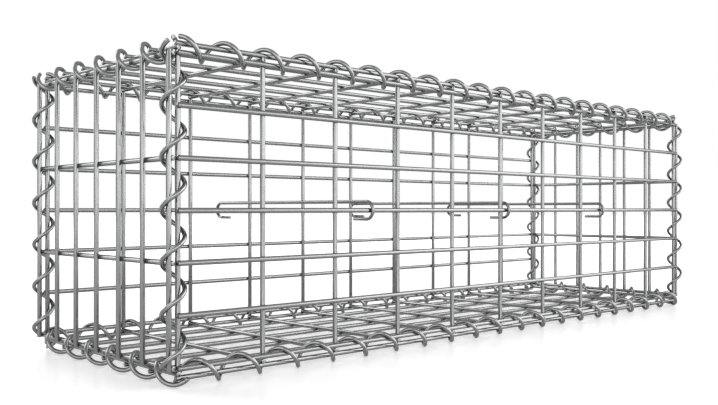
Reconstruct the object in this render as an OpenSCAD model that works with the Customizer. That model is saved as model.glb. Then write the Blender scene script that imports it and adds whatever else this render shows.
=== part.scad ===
// Gabion basket: six welded mesh panels, laced along all twelve edges with wire
// spirals and braced from front to back by spacer hooks. Empty, lid laced shut.
// Millimetres, +Z up, long side along X, front faces -Y, standing on Z = 0.

/* [Basket] */
// Length between the end cross wires of the front panel
basket_length = 1000; // [600:50:2000]
// Depth between the cross wires of the front and back panels
basket_depth = 300; // [200:10:600]
// Height between the outer line wires of the front panel
basket_height = 300; // [200:10:600]

/* [Mesh panels] */
// Spacing aimed at between the line wires, which lie outside
line_pitch = 50; // [45:1:100]
// Spacing aimed at between the cross wires, which lie inside
cross_pitch = 100; // [90:1:200]
// Diameter of the mesh wires
wire_d = 5.4; // [4:0.1:6]
// How far each weld presses one wire into the other
weld_sink = 1.4; // [0.4:0.1:1.6]
// Room between the wires of adjoining panels
panel_gap = 0.2; // [0.2:0.1:0.8]

/* [Lacing spirals] */
// Diameter of the spiral wire
spiral_wire_d = 4.7; // [3:0.1:5]
// Room between a spiral and the two wires that it ties together
spiral_gap = 0.5; // [0.4:0.1:0.8]
// Part of a turn that the end spirals stay back from the corners
end_setback = 0.05; // [0.05:0.05:0.5]
// Part of a turn that the left base spiral runs on past the front corner
base_overrun = 0.2; // [0:0.05:0.2]
// Part of a turn that the left corner spirals run up past the edge of the lid
corner_overrun = 0.2; // [0:0.05:0.2]

/* [Spacer hooks] */
// Diameter of the spacer wire
spacer_wire_d = 4.2; // [3:0.1:5]
// Radius of the bend at the middle of the wire
hook_r = 10; // [9:0.5:14]
// Straight tail past the bend
hook_tail = 22; // [10:1:40]
// Mesh gap, counted from each end, in whose middle an outer spacer stands
spacer_gap = 3; // [1:1:4]
// How far the middle spacer stands beside the middle cross wire
spacer_shift = 8; // [6:0.5:20]
// Room between a hook and the line wire that it holds
hook_gap = 0.3; // [0.2:0.1:0.8]

/* [Hidden] */

mesh_colour = [0.72, 0.73, 0.74];
spiral_colour = [0.78, 0.79, 0.80];
spacer_colour = [0.66, 0.67, 0.68];

// Wires are drawn with few sides: flats across the diameter on the mesh, corners on the spirals.
wire_sides = 8;
spiral_sides = 5;
rings_per_turn = 10;
round_fn = 48;

// Mesh gaps that fill each side evenly, and the wire spacing that comes of them
cross_gaps = round(basket_length / cross_pitch);
end_cross_gaps = round(basket_height / cross_pitch);
height_line_gaps = round(basket_height / line_pitch);
depth_line_gaps = round(basket_depth / line_pitch);

// Steps outwards: from cross wires to line wires, and from one panel's cross wires to the next panel's
layer_step = wire_d - weld_sink;
panel_step = wire_d + panel_gap;
edge_step = panel_step + layer_step;

// Distance between the two line wires that a long spiral ties, which sets the radius of every spiral
tied_pair = norm([layer_step, edge_step]);
spiral_r = tied_pair / 2 + wire_d / 2 + spiral_gap + spiral_wire_d / 2;

// Axes of the spirals, from the middle of the basket. The end spirals pass outside the line wires' ends.
long_axis_y = basket_depth / 2 + layer_step / 2;
long_axis_z = basket_height / 2 + edge_step / 2;
corner_axis_x = basket_length / 2 + edge_step / 2;
corner_axis_y = basket_depth / 2;
end_axis_step = edge_step + wire_d / 2 + spiral_gap + spiral_wire_d / 2 - spiral_r;
end_axis_x = basket_length / 2 + end_axis_step;
end_axis_z = basket_height / 2 + end_axis_step;

// One turn for each line wire gap, two for each cross wire gap
long_turns = 2 * cross_gaps;
end_turns = depth_line_gaps;
corner_turns = height_line_gaps;

// Height of the basket's middle, with the lowest spirals on Z = 0
mid_z = long_axis_z + spiral_r + spiral_wire_d / 2;

// Place of the outer spacers, and height of the line wire nearest to the middle, which all hooks hold
spacer_x = basket_length / 2 - basket_length / cross_gaps * (spacer_gap - 1 / 2);
hook_z = basket_height * (floor(height_line_gaps / 2) / height_line_gaps - 1 / 2);

// Where the hooks bend, so that their inside clears the line wire
hook_y = basket_depth / 2 + layer_step + wire_d / 2 + hook_gap + spacer_wire_d / 2 - hook_r;

// Turn of each spiral at the left, front or bottom end of its edge, in degrees
lid_front_turn = 92;
lid_back_turn = 88;
base_front_turn = 304;
base_back_turn = 20;
lid_left_turn = 166;
lid_right_turn = 187;
base_left_turn = 7;
base_right_turn = -54;
front_left_turn = 144;
front_right_turn = 22;
back_left_turn = 95;
back_right_turn = 14;

// One straight mesh wire along Z, centred
module mesh_wire(wire_length) {
    rotate(180 / wire_sides)
        cylinder(d = wire_d / cos(180 / wire_sides), h = wire_length, center = true, $fn = wire_sides);
}

// Flat welded panel: line wires along X on top of cross wires along Y, all cut flush at the edges
module mesh_panel(length_x, gaps_x, length_y, gaps_y) {
    color(mesh_colour) {
        for (i = [0 : gaps_x])
            translate([length_x * (i / gaps_x - 1 / 2), 0, 0])
                rotate([90, 0, 0])
                    mesh_wire(length_y + wire_d);
        for (i = [0 : gaps_y])
            translate([0, length_y * (i / gaps_y - 1 / 2), layer_step])
                rotate([0, 90, 0])
                    mesh_wire(length_x + wire_d);
    }
}

// Front panel lying flat, which the back panel repeats
module long_side() {
    mesh_panel(basket_length, cross_gaps, basket_height, height_line_gaps);
}

// End panel lying flat, line wires along X
module end_side() {
    mesh_panel(basket_height, end_cross_gaps, basket_depth, depth_line_gaps);
}

// Lid lying flat, which the base repeats
module cover() {
    mesh_panel(basket_length, cross_gaps, basket_depth, depth_line_gaps);
}

module front_panel() {
    translate([0, -basket_depth / 2, mid_z])
        rotate([90, 0, 0])
            long_side();
}

module back_panel() {
    translate([0, basket_depth / 2, mid_z])
        rotate([90, 0, 180])
            long_side();
}

module left_end_panel() {
    translate([-basket_length / 2 - panel_step, 0, mid_z])
        rotate([0, -90, 0])
            end_side();
}

module right_end_panel() {
    translate([basket_length / 2 + panel_step, 0, mid_z])
        rotate([0, 90, 0])
            end_side();
}

module base_panel() {
    translate([0, 0, mid_z - basket_height / 2 - panel_step])
        rotate([180, 0, 0])
            cover();
}

module lid_panel() {
    translate([0, 0, mid_z + basket_height / 2 + panel_step])
        cover();
}

// Corners of the wire's section on a right-handed helix about Z, at one angle of turn
function helix_ring(angle, start_turn, pitch) =
    let (
        around = angle + start_turn,
        outward = [cos(around), sin(around), 0],
        circumference = 2 * PI * spiral_r,
        along = [-sin(around) * circumference, cos(around) * circumference, pitch] / norm([circumference, pitch]),
        across = cross(along, outward)
    )
    [for (k = [0 : spiral_sides - 1])
        let (side = 360 * k / spiral_sides)
        spiral_r * outward + [0, 0, pitch * angle / 360]
            + spiral_wire_d / 2 * (cos(side) * outward + sin(side) * across)];

// Wire spiral about Z from one height to another, turned as if it began at Z = 0
module spiral(from_turn, to_turn, pitch, start_turn) {
    segments = round((to_turn - from_turn) * rings_per_turn);
    points = [for (i = [0 : segments])
        each helix_ring(360 * (from_turn + (to_turn - from_turn) * i / segments), start_turn, pitch)];
    last_ring = segments * spiral_sides;
    sides = [for (i = [0 : segments - 1], k = [0 : spiral_sides - 1])
        let (ring = i * spiral_sides, upper = ring + spiral_sides, next = (k + 1) % spiral_sides)
        each [[ring + k, upper + k, ring + next], [upper + k, upper + next, ring + next]]];
    first_cap = [for (k = [0 : spiral_sides - 1]) k];
    last_cap = [for (k = [spiral_sides - 1 : -1 : 0]) last_ring + k];
    color(spiral_colour)
        polyhedron(points, concat(sides, [first_cap, last_cap]), convexity = 10);
}

// Spiral along a long edge, at its front or back and top or bottom
module long_spiral(side_y, side_z, start_turn) {
    translate([-basket_length / 2, side_y * long_axis_y, mid_z + side_z * long_axis_z])
        rotate([90, 0, 90])
            spiral(0, long_turns, basket_length / long_turns, start_turn);
}

// Spiral along an end's top or bottom edge, from front to back
module end_spiral(side_x, side_z, start_turn, from_turn = end_setback) {
    translate([side_x * end_axis_x, -basket_depth / 2, mid_z + side_z * end_axis_z])
        rotate([0, 90, 90])
            spiral(from_turn, end_turns - end_setback, basket_depth / end_turns, start_turn);
}

// Spiral up a corner
module corner_spiral(side_x, side_y, start_turn, overrun = 0) {
    translate([side_x * corner_axis_x, side_y * corner_axis_y, mid_z - basket_height / 2])
        spiral(0, corner_turns + overrun, basket_height / corner_turns, start_turn);
}

module lid_front_spiral() { long_spiral(-1, 1, lid_front_turn); }
module lid_back_spiral() { long_spiral(1, 1, lid_back_turn); }
module base_front_spiral() { long_spiral(-1, -1, base_front_turn); }
module base_back_spiral() { long_spiral(1, -1, base_back_turn); }
module lid_left_spiral() { end_spiral(-1, 1, lid_left_turn); }
module lid_right_spiral() { end_spiral(1, 1, lid_right_turn); }
module base_left_spiral() { end_spiral(-1, -1, base_left_turn, -base_overrun); }
module base_right_spiral() { end_spiral(1, -1, base_right_turn); }
module front_left_spiral() { corner_spiral(-1, -1, front_left_turn, corner_overrun); }
module front_right_spiral() { corner_spiral(1, -1, front_right_turn); }
module back_left_spiral() { corner_spiral(-1, 1, back_left_turn, corner_overrun); }
module back_right_spiral() { corner_spiral(1, 1, back_right_turn); }

// Half-round bend and tail at the +Y end of a spacer, bending down from its rod
module hook() {
    translate([0, hook_y, 0])
        rotate([0, 90, 0])
            rotate_extrude(angle = 180, $fn = round_fn)
                translate([hook_r, 0])
                    circle(d = spacer_wire_d, $fn = round_fn);
    translate([0, hook_y - hook_tail, -hook_r])
        rotate([-90, 0, 0])
            cylinder(d = spacer_wire_d, h = hook_tail, $fn = round_fn);
}

// Spacer wire across the basket, hooked round a line wire of the front and of the back
module spacer(place_x) {
    color(spacer_colour)
        translate([place_x, 0, mid_z + hook_z]) {
            translate([0, -hook_y, hook_r])
                rotate([-90, 0, 0])
                    cylinder(d = spacer_wire_d, h = 2 * hook_y, $fn = round_fn);
            hook();
            mirror([0, 1, 0])
                hook();
        }
}

module left_spacer() { spacer(-spacer_x); }
module middle_spacer() { spacer(spacer_shift); }
module right_spacer() { spacer(spacer_x); }

front_panel();
back_panel();
left_end_panel();
right_end_panel();
base_panel();
lid_panel();
lid_front_spiral();
lid_back_spiral();
lid_left_spiral();
lid_right_spiral();
base_front_spiral();
base_back_spiral();
base_left_spiral();
base_right_spiral();
front_left_spiral();
front_right_spiral();
back_left_spiral();
back_right_spiral();
left_spacer();
middle_spacer();
right_spacer();
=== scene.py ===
import math
import bmesh
import bpy
from mathutils import Matrix, Vector


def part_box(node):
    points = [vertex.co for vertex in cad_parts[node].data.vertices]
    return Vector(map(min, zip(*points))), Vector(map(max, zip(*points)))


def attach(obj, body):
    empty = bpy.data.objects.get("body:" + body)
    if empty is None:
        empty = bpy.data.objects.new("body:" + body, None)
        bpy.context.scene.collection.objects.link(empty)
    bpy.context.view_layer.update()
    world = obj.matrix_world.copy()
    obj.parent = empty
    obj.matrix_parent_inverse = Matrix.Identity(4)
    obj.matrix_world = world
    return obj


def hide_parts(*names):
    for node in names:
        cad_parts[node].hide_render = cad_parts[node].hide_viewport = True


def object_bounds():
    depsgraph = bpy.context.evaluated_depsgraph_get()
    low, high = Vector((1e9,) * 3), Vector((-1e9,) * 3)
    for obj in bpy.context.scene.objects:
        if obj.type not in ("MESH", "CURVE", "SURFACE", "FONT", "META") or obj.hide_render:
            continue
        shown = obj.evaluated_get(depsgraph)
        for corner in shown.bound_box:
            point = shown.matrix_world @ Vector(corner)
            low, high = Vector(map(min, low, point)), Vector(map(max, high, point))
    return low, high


# Gabion basket: welded mesh panels laced along every edge with wire spirals, braced by spacer hooks

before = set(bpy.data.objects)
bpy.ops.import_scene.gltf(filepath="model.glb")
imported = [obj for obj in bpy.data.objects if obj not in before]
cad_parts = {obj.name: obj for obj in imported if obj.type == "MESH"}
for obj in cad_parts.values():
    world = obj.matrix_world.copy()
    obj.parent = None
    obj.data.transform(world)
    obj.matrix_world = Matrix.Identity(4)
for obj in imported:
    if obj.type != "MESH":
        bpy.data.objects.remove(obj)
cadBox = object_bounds()
print("frame loaded:", len(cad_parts), "nodes")


# Camera at the photograph's viewpoint, level, a little above the middle of the basket

photoCamera = {
    "imageWidth": 718,                      # pixels
    "focalLength": 836.0,                   # pixels
    "horizonBelowCentre": 6.7,              # pixels
    "sensor": 36.0,                         # mm
    "place": (-0.9188, -0.8478, 0.1692),    # m
    "heading": -43.21,                      # degrees, turned right from +Y
}


def setUpCamera():
    spec = photoCamera
    data = bpy.data.cameras.new("photoCamera")
    data.sensor_fit = "HORIZONTAL"
    data.sensor_width = spec["sensor"]
    data.lens = spec["sensor"] * spec["focalLength"] / spec["imageWidth"]
    data.shift_y = spec["horizonBelowCentre"] / spec["imageWidth"]
    data.clip_start = 0.01
    camera = bpy.data.objects.new("photoCamera", data)
    camera.location = spec["place"]
    camera.rotation_euler = (math.radians(90), 0, math.radians(spec["heading"]))
    bpy.context.collection.objects.link(camera)
    bpy.context.scene.camera = camera


setUpCamera()
print("camera set")


# Galvanised wire finishes

zincFinish = {
    "spangleSize": 0.0045,      # m across one zinc crystal
    "spangleContrast": 0.03,
    "mottleSize": 0.02,
    "grainSize": 0.0007,
    "grainDepth": 0.000002,
    "grainStrength": 0.5,
    "specularLevel": 0.2,
    "edgeTint": (0.6, 0.6, 0.6, 1),     # dims the shine where the wire turns away
    "mottleRange": (0.3, 0.7),          # part of the noise that is used
}

wireFinishes = {
    "mesh_wire": {"colour": (0.184, 0.185, 0.186), "metal": 0.92, "roughness": (0.18, 0.22)},
    "spiral_wire": {"colour": (0.184, 0.185, 0.186), "metal": 0.92, "roughness": (0.08, 0.12)},
    "spacer_wire": {"colour": (0.16, 0.161, 0.162), "metal": 0.92, "roughness": (0.18, 0.22)},
}


def galvanisedWire(slotName):
    spec = wireFinishes[slotName]
    zinc = zincFinish
    material = bpy.data.materials.new(slotName)
    material.use_nodes = True
    nodes = material.node_tree.nodes
    links = material.node_tree.links
    shader = nodes["Principled BSDF"]
    shader.inputs["Metallic"].default_value = spec["metal"]
    shader.inputs["Specular IOR Level"].default_value = zinc["specularLevel"]
    shader.inputs["Specular Tint"].default_value = zinc["edgeTint"]
    place = nodes.new("ShaderNodeTexCoord")

    # zinc spangle: each crystal a little lighter or darker than the next
    spangle = nodes.new("ShaderNodeTexVoronoi")
    spangle.inputs["Scale"].default_value = 1 / zinc["spangleSize"]
    links.new(place.outputs["Object"], spangle.inputs["Vector"])
    crystal = nodes.new("ShaderNodeSeparateColor")
    links.new(spangle.outputs["Color"], crystal.inputs["Color"])
    shade = nodes.new("ShaderNodeMapRange")
    shade.inputs["To Min"].default_value = 1 - zinc["spangleContrast"]
    shade.inputs["To Max"].default_value = 1 + zinc["spangleContrast"]
    links.new(crystal.outputs["Red"], shade.inputs["Value"])
    tone = nodes.new("ShaderNodeVectorMath")
    tone.operation = "SCALE"
    tone.inputs[0].default_value = spec["colour"]
    links.new(shade.outputs["Result"], tone.inputs["Scale"])
    links.new(tone.outputs["Vector"], shader.inputs["Base Color"])

    # duller and brighter patches along the wire
    mottle = nodes.new("ShaderNodeTexNoise")
    mottle.inputs["Scale"].default_value = 1 / zinc["mottleSize"]
    mottle.inputs["Detail"].default_value = 4
    links.new(place.outputs["Object"], mottle.inputs["Vector"])
    gloss = nodes.new("ShaderNodeMapRange")
    gloss.inputs["From Min"].default_value, gloss.inputs["From Max"].default_value = zinc["mottleRange"]
    gloss.inputs["To Min"].default_value, gloss.inputs["To Max"].default_value = spec["roughness"]
    links.new(mottle.outputs["Fac"], gloss.inputs["Value"])
    links.new(gloss.outputs["Result"], shader.inputs["Roughness"])

    # fine grain of the dipped coat
    grain = nodes.new("ShaderNodeTexNoise")
    grain.inputs["Scale"].default_value = 1 / zinc["grainSize"]
    grain.inputs["Detail"].default_value = 3
    links.new(place.outputs["Object"], grain.inputs["Vector"])
    relief = nodes.new("ShaderNodeBump")
    relief.inputs["Strength"].default_value = zinc["grainStrength"]
    relief.inputs["Distance"].default_value = zinc["grainDepth"]
    links.new(grain.outputs["Fac"], relief.inputs["Height"])
    links.new(relief.outputs["Normal"], shader.inputs["Normal"])
    return material


finishes = {name: galvanisedWire(name) for name in wireFinishes}
print("finishes made:", ", ".join(finishes))


# Shared steps for every piece

smoothAngle = math.radians(35)


def looseObject(bm, name):
    bmesh.ops.recalc_face_normals(bm, faces=bm.faces[:])
    mesh = bpy.data.meshes.new(name)
    bm.to_mesh(mesh)
    bm.free()
    thing = bpy.data.objects.new(name, mesh)
    bpy.context.collection.objects.link(thing)
    return thing


def finishPiece(bm, node, slotName):
    dressPiece(looseObject(bm, node + "_wire"), node, slotName)


def dressPiece(piece, node, slotName):
    mesh = piece.data
    mesh.materials.clear()
    mesh.materials.append(finishes[slotName])
    mesh.shade_smooth()
    mesh.set_sharp_from_angle(angle=smoothAngle)
    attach(piece, "root")
    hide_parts(node)


def softenCutEnds(bm, caps, amount):
    rims = list({edge for face in caps for edge in face.edges})
    bmesh.ops.bevel(bm, geom=rims, offset=amount, offset_type="OFFSET", affect="EDGES",
                    segments=2, profile=0.5, material=-1)


# Welded mesh panels: cross wires inside, line wires outside, pressed into each other at every crossing

meshWire = {
    "diameter": 0.0054,
    "sides": 20,
    "cutBevel": 0.0004,
    "weldWidth": 0.0056,        # metal squeezed out round each crossing
    "weldThickness": 0.0019,
    "weldSegments": (10, 5),    # round the ring, and from pole to pole
}

meshPanels = {
    "front_panel": {"along": 0, "across": 2, "outward": (1, -1), "gaps": (6, 10)},
    "back_panel": {"along": 0, "across": 2, "outward": (1, 1), "gaps": (6, 10)},
    "left_end_panel": {"along": 2, "across": 1, "outward": (0, -1), "gaps": (6, 3)},
    "right_end_panel": {"along": 2, "across": 1, "outward": (0, 1), "gaps": (6, 3)},
    "base_panel": {"along": 0, "across": 1, "outward": (2, -1), "gaps": (6, 10)},
    "lid_panel": {"along": 0, "across": 1, "outward": (2, 1), "gaps": (6, 10)},
}


def cutStraightWire(start, end):
    # one cut length of mesh wire from start to end
    spec = meshWire
    bm = bmesh.new()
    run = end - start
    bmesh.ops.create_cone(bm, cap_ends=True, segments=spec["sides"], radius1=spec["diameter"] / 2,
                          radius2=spec["diameter"] / 2, depth=run.length)
    softenCutEnds(bm, [face for face in bm.faces if len(face.verts) > 4], spec["cutBevel"])
    turn = run.to_track_quat("Z", "X").to_matrix().to_4x4()
    bmesh.ops.transform(bm, matrix=Matrix.Translation((start + end) / 2) @ turn, verts=bm.verts[:])
    return bm


def repeatAlong(bm, step, count):
    # copies of what the bmesh holds, a step apart
    first = bm.verts[:] + bm.edges[:] + bm.faces[:]
    for i in range(1, count):
        copy = bmesh.ops.duplicate(bm, geom=first)
        copied = [v for v in copy["geom"] if isinstance(v, bmesh.types.BMVert)]
        bmesh.ops.translate(bm, vec=step * i, verts=copied)


def weldTogether(base, others):
    # fuse the wires and welds of one panel into a single skin
    for other in others:
        fuse = base.modifiers.new("weld", "BOOLEAN")
        fuse.operation = "UNION"
        fuse.solver = "MANIFOLD"
        fuse.object = other
    solved = bpy.data.meshes.new_from_object(base.evaluated_get(bpy.context.evaluated_depsgraph_get()))
    base.modifiers.clear()
    base.data = solved
    for other in others:
        bpy.data.objects.remove(other)


def meshPanel(node):
    spec = meshPanels[node]
    low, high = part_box(node)
    half = meshWire["diameter"] / 2
    normal, side = spec["outward"]
    outer = (high[normal] - half) if side > 0 else (low[normal] + half)
    inner = (low[normal] + half) if side > 0 else (high[normal] - half)
    along, across = spec["along"], spec["across"]
    lineGaps, crossGaps = spec["gaps"]

    # first and last place of each set of wires, from the node's own box
    lineStart, lineEnd, crossStart, crossEnd = Vector(), Vector(), Vector(), Vector()
    lineStart[normal] = lineEnd[normal] = outer
    lineStart[along], lineEnd[along] = low[along], high[along]
    lineStart[across] = lineEnd[across] = low[across] + half
    crossStart[normal] = crossEnd[normal] = inner
    crossStart[across], crossEnd[across] = low[across], high[across]
    crossStart[along] = crossEnd[along] = low[along] + half
    lineStep, crossStep = Vector(), Vector()
    lineStep[across] = (high[across] - low[across] - 2 * half) / lineGaps
    crossStep[along] = (high[along] - low[along] - 2 * half) / crossGaps

    lines = cutStraightWire(lineStart, lineEnd)
    repeatAlong(lines, lineStep, lineGaps + 1)
    crosses = cutStraightWire(crossStart, crossEnd)
    repeatAlong(crosses, crossStep, crossGaps + 1)

    # a low ring of squeezed-out metal where two wires meet
    welds = bmesh.new()
    around, upward = meshWire["weldSegments"]
    bmesh.ops.create_uvsphere(welds, u_segments=around, v_segments=upward, radius=1)
    flat = Vector((meshWire["weldWidth"] / 2,) * 3)
    flat[normal] = meshWire["weldThickness"] / 2
    bmesh.ops.scale(welds, vec=flat, verts=welds.verts[:])
    middle = Vector(lineStart)
    middle[along] = low[along] + half
    middle[normal] = (outer + inner) / 2
    bmesh.ops.translate(welds, vec=middle, verts=welds.verts[:])
    repeatAlong(welds, lineStep, lineGaps + 1)
    repeatAlong(welds, crossStep, crossGaps + 1)

    panel = looseObject(crosses, node + "_wire")
    weldTogether(panel, [looseObject(lines, node + "_lines"), looseObject(welds, node + "_welds")])
    dressPiece(panel, node, "mesh_wire")


for node in meshPanels:
    meshPanel(node)
print("mesh panels welded:", len(meshPanels))


# Lacing spirals: right-handed, wound round the two wires that they tie, cut off plain at both ends

spiralWire = {
    "diameter": 0.0047,
    "gap": 0.0005,              # room round the tied wires
    "sides": 16,
    "stepsPerTurn": 36,
    "cutBevel": 0.0005,
    "pitch": 0.05,
    "endSetback": 0.05,         # turns
    "seamMerge": 0.00001,       # joins one wound turn to the next
    "turnSlack": 0.001,         # turns, so that rounding loses no whole turn
}

# where each spiral begins to wind, in degrees at the left, front or bottom end of its edge
longSpirals = {
    "lid_front_spiral": {"panels": ("front_panel", "lid_panel"), "side": (-1, 1), "turn": 92},
    "lid_back_spiral": {"panels": ("back_panel", "lid_panel"), "side": (1, 1), "turn": 88},
    "base_front_spiral": {"panels": ("front_panel", "base_panel"), "side": (-1, -1), "turn": 304},
    "base_back_spiral": {"panels": ("back_panel", "base_panel"), "side": (1, -1), "turn": 20},
}
endSpirals = {
    "lid_left_spiral": {"side": (-1, 1), "turn": 166, "early": -0.05},
    "lid_right_spiral": {"side": (1, 1), "turn": 187, "early": -0.05},
    "base_left_spiral": {"side": (-1, -1), "turn": 7, "early": 0.2},
    "base_right_spiral": {"side": (1, -1), "turn": -54, "early": -0.05},
}
cornerSpirals = {
    "front_left_spiral": {"side": (-1, -1), "turn": 144, "late": 0.2},
    "front_right_spiral": {"side": (1, -1), "turn": 22, "late": 0},
    "back_left_spiral": {"side": (-1, 1), "turn": 95, "late": 0.2},
    "back_right_spiral": {"side": (1, 1), "turn": 14, "late": 0},
}


def outermostWire(node, axis, side):
    # centre of the panel's wire on that side
    low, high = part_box(node)
    half = meshWire["diameter"] / 2
    return high[axis] - half if side > 0 else low[axis] + half


frontLine = Vector((0, outermostWire("front_panel", 1, -1), outermostWire("front_panel", 2, 1)))
lidLine = Vector((0, outermostWire("lid_panel", 1, -1), outermostWire("lid_panel", 2, 1)))
wireReach = (meshWire["diameter"] + spiralWire["diameter"]) / 2 + spiralWire["gap"]
spiralRadius = (lidLine - frontLine).length / 2 + wireReach
nestReach = wireReach - spiralRadius    # from the end panel's outer wire to the axis of its spirals


def windOn(bm, rim, turns):
    # sweep the rim round the axis and up it
    spec = spiralWire
    steps = round(turns * spec["stepsPerTurn"])
    bmesh.ops.spin(bm, geom=rim, cent=(0, 0, 0), axis=(0, 0, 1), dvec=(0, 0, spec["pitch"] * turns / steps),
                   angle=2 * math.pi * turns, steps=steps)


def windSpiral(fromTurn, toTurn, startTurn):
    # spiral about Z, turned as if it began at Z = 0
    spec = spiralWire
    bm = bmesh.new()
    pitch = spec["pitch"]
    lead = math.atan2(pitch, 2 * math.pi * spiralRadius)
    turns = toTurn - fromTurn
    wholeTurns = math.floor(turns + spec["turnSlack"])
    bmesh.ops.create_circle(bm, segments=spec["sides"], radius=spec["diameter"] / 2)
    begin = (Matrix.Translation((0, 0, pitch * fromTurn))
             @ Matrix.Rotation(math.radians(startTurn) + 2 * math.pi * fromTurn, 4, "Z")
             @ Matrix.Translation((spiralRadius, 0, 0))
             @ Matrix.Rotation(lead - math.pi / 2, 4, "X"))
    bmesh.ops.transform(bm, matrix=begin, verts=bm.verts[:])

    # one turn is wound and repeated, then the part turn at the end follows on from it
    windOn(bm, bm.verts[:] + bm.edges[:], 1)
    repeatAlong(bm, Vector((0, 0, pitch)), wholeTurns)
    bmesh.ops.remove_doubles(bm, verts=bm.verts[:], dist=spec["seamMerge"])
    partTurn = turns - wholeTurns
    if partTurn > 1 / spec["stepsPerTurn"]:
        middleHeight = pitch * (fromTurn + wholeTurns / 2)
        topEdges = [e for e in bm.edges if e.is_boundary and e.verts[0].co.z > middleHeight]
        windOn(bm, topEdges + list({v for e in topEdges for v in e.verts}), partTurn)
    ends = bmesh.ops.holes_fill(bm, edges=[edge for edge in bm.edges if edge.is_boundary], sides=0)
    softenCutEnds(bm, ends["faces"], spec["cutBevel"])
    return bm


def laceEdge(node, bm, place, turnX, turnZ):
    # lay the wound spiral along its edge: about X first, then about Z
    lay = Matrix.Translation(place) @ Matrix.Rotation(turnZ, 4, "Z") @ Matrix.Rotation(turnX, 4, "X")
    bmesh.ops.transform(bm, matrix=lay, verts=bm.verts[:])
    finishPiece(bm, node, "spiral_wire")


def laceLongEdge(node):
    spec = longSpirals[node]
    wall, cover = spec["panels"]
    sideY, sideZ = spec["side"]
    axisY = (outermostWire(wall, 1, sideY) + outermostWire(cover, 1, sideY)) / 2
    axisZ = (outermostWire(wall, 2, sideZ) + outermostWire(cover, 2, sideZ)) / 2
    startX, endX = outermostWire(wall, 0, -1), outermostWire(wall, 0, 1)
    bm = windSpiral(0, round((endX - startX) / spiralWire["pitch"]), spec["turn"])
    laceEdge(node, bm, (startX, axisY, axisZ), math.radians(90), math.radians(90))


def laceEndEdge(node):
    spec = endSpirals[node]
    sideX, sideZ = spec["side"]
    wall = "left_end_panel" if sideX < 0 else "right_end_panel"
    cover = "base_panel" if sideZ < 0 else "lid_panel"
    axisX = outermostWire(wall, 0, sideX) + sideX * nestReach
    axisZ = outermostWire(cover, 2, sideZ) + sideZ * nestReach
    startY, endY = outermostWire(wall, 1, -1), outermostWire(wall, 1, 1)
    turns = round((endY - startY) / spiralWire["pitch"])
    bm = windSpiral(-spec["early"], turns - spiralWire["endSetback"], spec["turn"])
    quarter = Matrix.Rotation(math.radians(90), 4, "Y")
    bmesh.ops.transform(bm, matrix=quarter, verts=bm.verts[:])
    laceEdge(node, bm, (axisX, startY, axisZ), 0, math.radians(90))


def laceCorner(node):
    spec = cornerSpirals[node]
    sideX, sideY = spec["side"]
    end = "left_end_panel" if sideX < 0 else "right_end_panel"
    wall = "front_panel" if sideY < 0 else "back_panel"
    axisX = (outermostWire(end, 0, sideX) + outermostWire(wall, 0, sideX)) / 2
    axisY = outermostWire(end, 1, sideY)
    startZ, endZ = outermostWire(wall, 2, -1), outermostWire(wall, 2, 1)
    turns = round((endZ - startZ) / spiralWire["pitch"])
    bm = windSpiral(0, turns + spec["late"], spec["turn"])
    laceEdge(node, bm, (axisX, axisY, startZ), 0, 0)


for node in longSpirals:
    laceLongEdge(node)
for node in endSpirals:
    laceEndEdge(node)
for node in cornerSpirals:
    laceCorner(node)
print("edges laced:", len(longSpirals) + len(endSpirals) + len(cornerSpirals))


# Spacer hooks: a straight rod with a half-round bend and a tail at each end

spacerWire = {
    "nodes": ("left_spacer", "middle_spacer", "right_spacer"),
    "diameter": 0.0042,
    "tail": 0.022,
    "sides": 20,
    "bendSteps": 24,
    "cutBevel": 0.0004,
}


def bendSpacer(node):
    spec = spacerWire
    low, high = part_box(node)
    half = spec["diameter"] / 2
    centre = (low + high) / 2
    bendRadius = (high.z - low.z) / 2 - half
    bendY = high.y - half - bendRadius
    bm = bmesh.new()
    bmesh.ops.create_circle(bm, segments=spec["sides"], radius=half)
    tailEnd = Matrix.Translation((centre.x, bendY - spec["tail"], centre.z - bendRadius))
    faceFront = Matrix.Rotation(math.radians(90), 4, "X")
    bmesh.ops.transform(bm, matrix=tailEnd @ faceFront, verts=bm.verts[:])
    rim = bm.verts[:] + bm.edges[:]

    def drawOn(rim, run):
        made = bmesh.ops.extrude_edge_only(bm, edges=[e for e in rim if isinstance(e, bmesh.types.BMEdge)])
        moved = [g for g in made["geom"] if isinstance(g, bmesh.types.BMVert)]
        bmesh.ops.translate(bm, vec=(0, run, 0), verts=moved)
        kept = set(moved)
        return moved + [g for g in made["geom"] if isinstance(g, bmesh.types.BMEdge) and set(g.verts) <= kept]

    def bendOn(rim, y):
        made = bmesh.ops.spin(bm, geom=rim, cent=(centre.x, y, centre.z), axis=(1, 0, 0), angle=math.pi,
                              steps=spec["bendSteps"])
        return made["geom_last"]

    rim = drawOn(rim, spec["tail"])
    rim = bendOn(rim, bendY)
    rim = drawOn(rim, -2 * (bendY - centre.y))
    rim = bendOn(rim, 2 * centre.y - bendY)
    drawOn(rim, spec["tail"])
    ends = bmesh.ops.holes_fill(bm, edges=[edge for edge in bm.edges if edge.is_boundary], sides=0)
    softenCutEnds(bm, ends["faces"], spec["cutBevel"])
    finishPiece(bm, node, "spacer_wire")


for node in spacerWire["nodes"]:
    bendSpacer(node)
print("spacers hooked in:", len(spacerWire["nodes"]))


# Plain white studio: satin floor, white surround, four large softboxes far off

studio = {
    "ambient": 0.12,            # light of the surround on the object; the surround itself shows white
    "floorSize": 40.0,
    "floorColour": (0.9, 0.9, 0.9),
    "floorRoughness": 0.28,     # satin: at a low angle it mirrors the softboxes
    "glowNear": 0.3,            # how far the floor is lifted to white, at the basket and far from it
    "glowFar": 0.85,
    "fadeFrom": 0.8,
    "fadeTo": 4.0,
}

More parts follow.
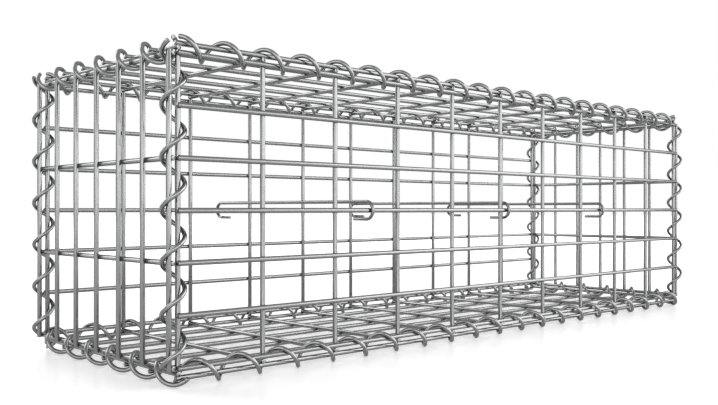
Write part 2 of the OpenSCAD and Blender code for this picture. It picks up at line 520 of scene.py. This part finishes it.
studioLamps = {
    "keySoftbox": {"place": (6.04, -4.39, 3.04), "size": (9.6, 5.8), "watts": 720},
    "frontSoftbox": {"place": (-2.0, -7.6, 1.69), "size": (11.2, 3.1), "watts": 345},
    "leftSoftbox": {"place": (-7.29, -1.82, 2.9), "size": (4.9, 5.5), "watts": 200},
    "backSoftbox": {"place": (-2.36, 6.33, 4.45), "size": (4.2, 7.2), "watts": 440},
}


def whenSeen(tree):
    # 1 for rays from the camera and from shiny or clear surfaces, 0 for the rest
    path = tree.nodes.new("ShaderNodeLightPath")
    shiny = tree.nodes.new("ShaderNodeMath")
    shiny.operation = "MAXIMUM"
    tree.links.new(path.outputs["Is Camera Ray"], shiny.inputs[0])
    tree.links.new(path.outputs["Is Glossy Ray"], shiny.inputs[1])
    seen = tree.nodes.new("ShaderNodeMath")
    seen.operation = "MAXIMUM"
    tree.links.new(shiny.outputs["Value"], seen.inputs[0])
    tree.links.new(path.outputs["Is Transmission Ray"], seen.inputs[1])
    return seen.outputs["Value"]


def whiteSurround():
    world = bpy.data.worlds.new("whiteSurround")
    world.use_nodes = True
    bpy.context.scene.world = world
    tree = world.node_tree
    background = tree.nodes["Background"]
    background.inputs["Color"].default_value = (1, 1, 1, 1)
    level = tree.nodes.new("ShaderNodeMapRange")
    level.inputs["To Min"].default_value = studio["ambient"]
    level.inputs["To Max"].default_value = 1
    tree.links.new(whenSeen(tree), level.inputs["Value"])
    tree.links.new(level.outputs["Result"], background.inputs["Strength"])


def paleFloor():
    bm = bmesh.new()
    bmesh.ops.create_grid(bm, x_segments=1, y_segments=1, size=studio["floorSize"] / 2)
    floor = looseObject(bm, "floor")
    material = bpy.data.materials.new("paleFloor")
    material.use_nodes = True
    tree = material.node_tree
    shader = tree.nodes["Principled BSDF"]
    shader.inputs["Base Color"].default_value = (*studio["floorColour"], 1)
    shader.inputs["Roughness"].default_value = studio["floorRoughness"]
    shader.inputs["Emission Color"].default_value = (1, 1, 1, 1)
    place = tree.nodes.new("ShaderNodeTexCoord")
    reach = tree.nodes.new("ShaderNodeVectorMath")
    reach.operation = "LENGTH"
    tree.links.new(place.outputs["Object"], reach.inputs[0])
    fade = tree.nodes.new("ShaderNodeMapRange")
    fade.interpolation_type = "SMOOTHSTEP"
    fade.inputs["From Min"].default_value = studio["fadeFrom"]
    fade.inputs["From Max"].default_value = studio["fadeTo"]
    fade.inputs["To Min"].default_value = studio["glowNear"]
    fade.inputs["To Max"].default_value = studio["glowFar"]
    tree.links.new(reach.outputs["Value"], fade.inputs["Value"])
    glow = tree.nodes.new("ShaderNodeMath")
    glow.operation = "MULTIPLY"
    tree.links.new(fade.outputs["Result"], glow.inputs[1])
    tree.links.new(whenSeen(tree), glow.inputs[0])
    tree.links.new(glow.outputs["Value"], shader.inputs["Emission Strength"])
    floor.data.materials.append(material)


def hangLamps():
    target = (cadBox[0] + cadBox[1]) / 2
    for name, spec in studioLamps.items():
        light = bpy.data.lights.new(name, "AREA")
        light.shape = "RECTANGLE"
        light.size, light.size_y = spec["size"]
        light.energy = spec["watts"]
        lamp = bpy.data.objects.new(name, light)
        lamp.location = spec["place"]
        lamp.rotation_euler = (target - lamp.location).to_track_quat("-Z", "Y").to_euler()
        bpy.context.collection.objects.link(lamp)


whiteSurround()
paleFloor()
hangLamps()
bpy.context.scene.view_settings.view_transform = "Standard"
print("studio lit")
